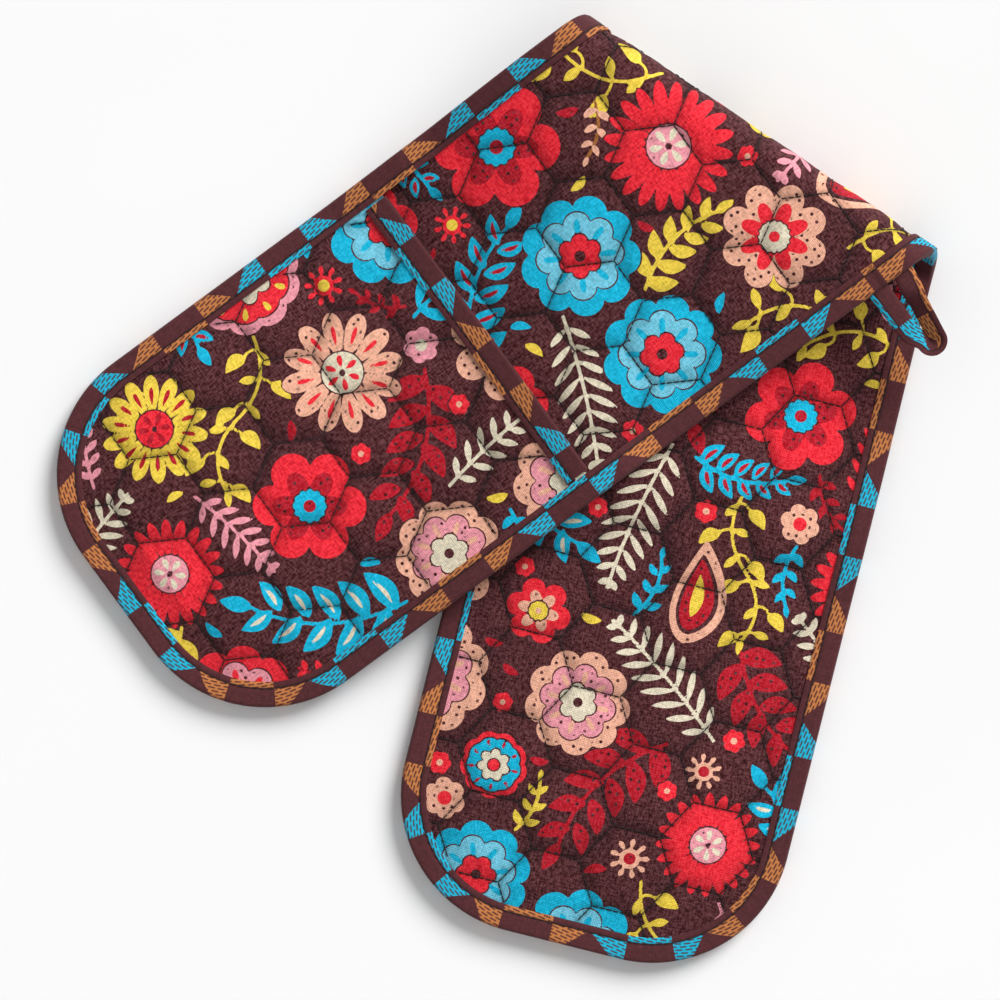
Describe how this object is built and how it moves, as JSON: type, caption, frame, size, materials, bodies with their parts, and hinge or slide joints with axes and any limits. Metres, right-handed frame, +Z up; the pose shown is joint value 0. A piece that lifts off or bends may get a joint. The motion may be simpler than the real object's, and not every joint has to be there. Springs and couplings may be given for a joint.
{
  "type": "double oven glove",
  "caption": "Quilted cotton double oven glove with a hand pocket at each rounded end, check-tape binding and a hanging loop, folded in half and laid flat.",
  "frame": {"origin": "under the middle of the folded glove, on the table it lies on", "axes": "+X along the fold line, the two arms run from the fold towards -Y, +Z up"},
  "size_m": [0.4068, 0.3882, 0.0361],
  "materials": {
    "printed_cotton": "matt quilted cotton canvas, printed",
    "cotton_wadding": "soft needled wadding",
    "check_tape": "matt woven check tape",
    "sewing_thread": "dark twisted thread"
  },
  "bodies": {
    "right_arm": {"right_arm_back_cloth": "printed_cotton", "right_arm_wadding": "cotton_wadding", "right_arm_front_cloth": "printed_cotton", "right_pocket_lining": "printed_cotton", "right_pocket_wadding": "cotton_wadding", "right_pocket_outer_cloth": "printed_cotton", "right_mouth_binding": "check_tape", "right_mouth_topstitch": "sewing_thread", "right_arm_edge_binding": "check_tape", "right_arm_binding_topstitch": "sewing_thread"},
    "fold": {"fold_back_cloth": "printed_cotton", "fold_wadding": "cotton_wadding", "fold_front_cloth": "printed_cotton", "fold_upper_left_binding": "check_tape", "fold_upper_left_topstitch": "sewing_thread", "fold_lower_right_binding": "check_tape", "fold_lower_right_topstitch": "sewing_thread"},
    "left_arm": {"left_arm_back_cloth": "printed_cotton", "left_arm_wadding": "cotton_wadding", "left_arm_front_cloth": "printed_cotton", "left_pocket_lining": "printed_cotton", "left_pocket_wadding": "cotton_wadding", "left_pocket_outer_cloth": "printed_cotton", "left_mouth_binding": "check_tape", "left_mouth_topstitch": "sewing_thread", "left_arm_edge_binding": "check_tape", "left_arm_binding_topstitch": "sewing_thread", "loop_bar_tack": "sewing_thread"},
    "hanging_loop": {"hanging_loop": "check_tape"}
  },
  "joints": [
    {"name": "fold_lower", "type": "hinge", "parent": "right_arm", "child": "fold", "pos_m": [-0.00305, 0.1859, 0.0053], "axis": [-1, 0, 0], "range_deg": [0, 90], "deforming": ["fold_back_cloth", "fold_wadding", "fold_front_cloth", "fold_upper_left_binding", "fold_upper_left_topstitch", "fold_lower_right_binding", "fold_lower_right_topstitch"]},
    {"name": "fold_upper", "type": "hinge", "parent": "fold", "child": "left_arm", "pos_m": [-0.00305, 0.1859, 0.0303], "axis": [-1, 0, 0], "range_deg": [0, 90]},
    {"name": "loop_swing", "type": "hinge", "parent": "left_arm", "child": "hanging_loop", "pos_m": [0.08628, 0.16519, 0.03085], "axis": [-0.3387, -0.9409, 0], "range_deg": [0, 90]}
  ],
  "couplings": [
    {"joint": "fold_upper", "follows": "fold_lower", "ratio": 1}
  ]
}
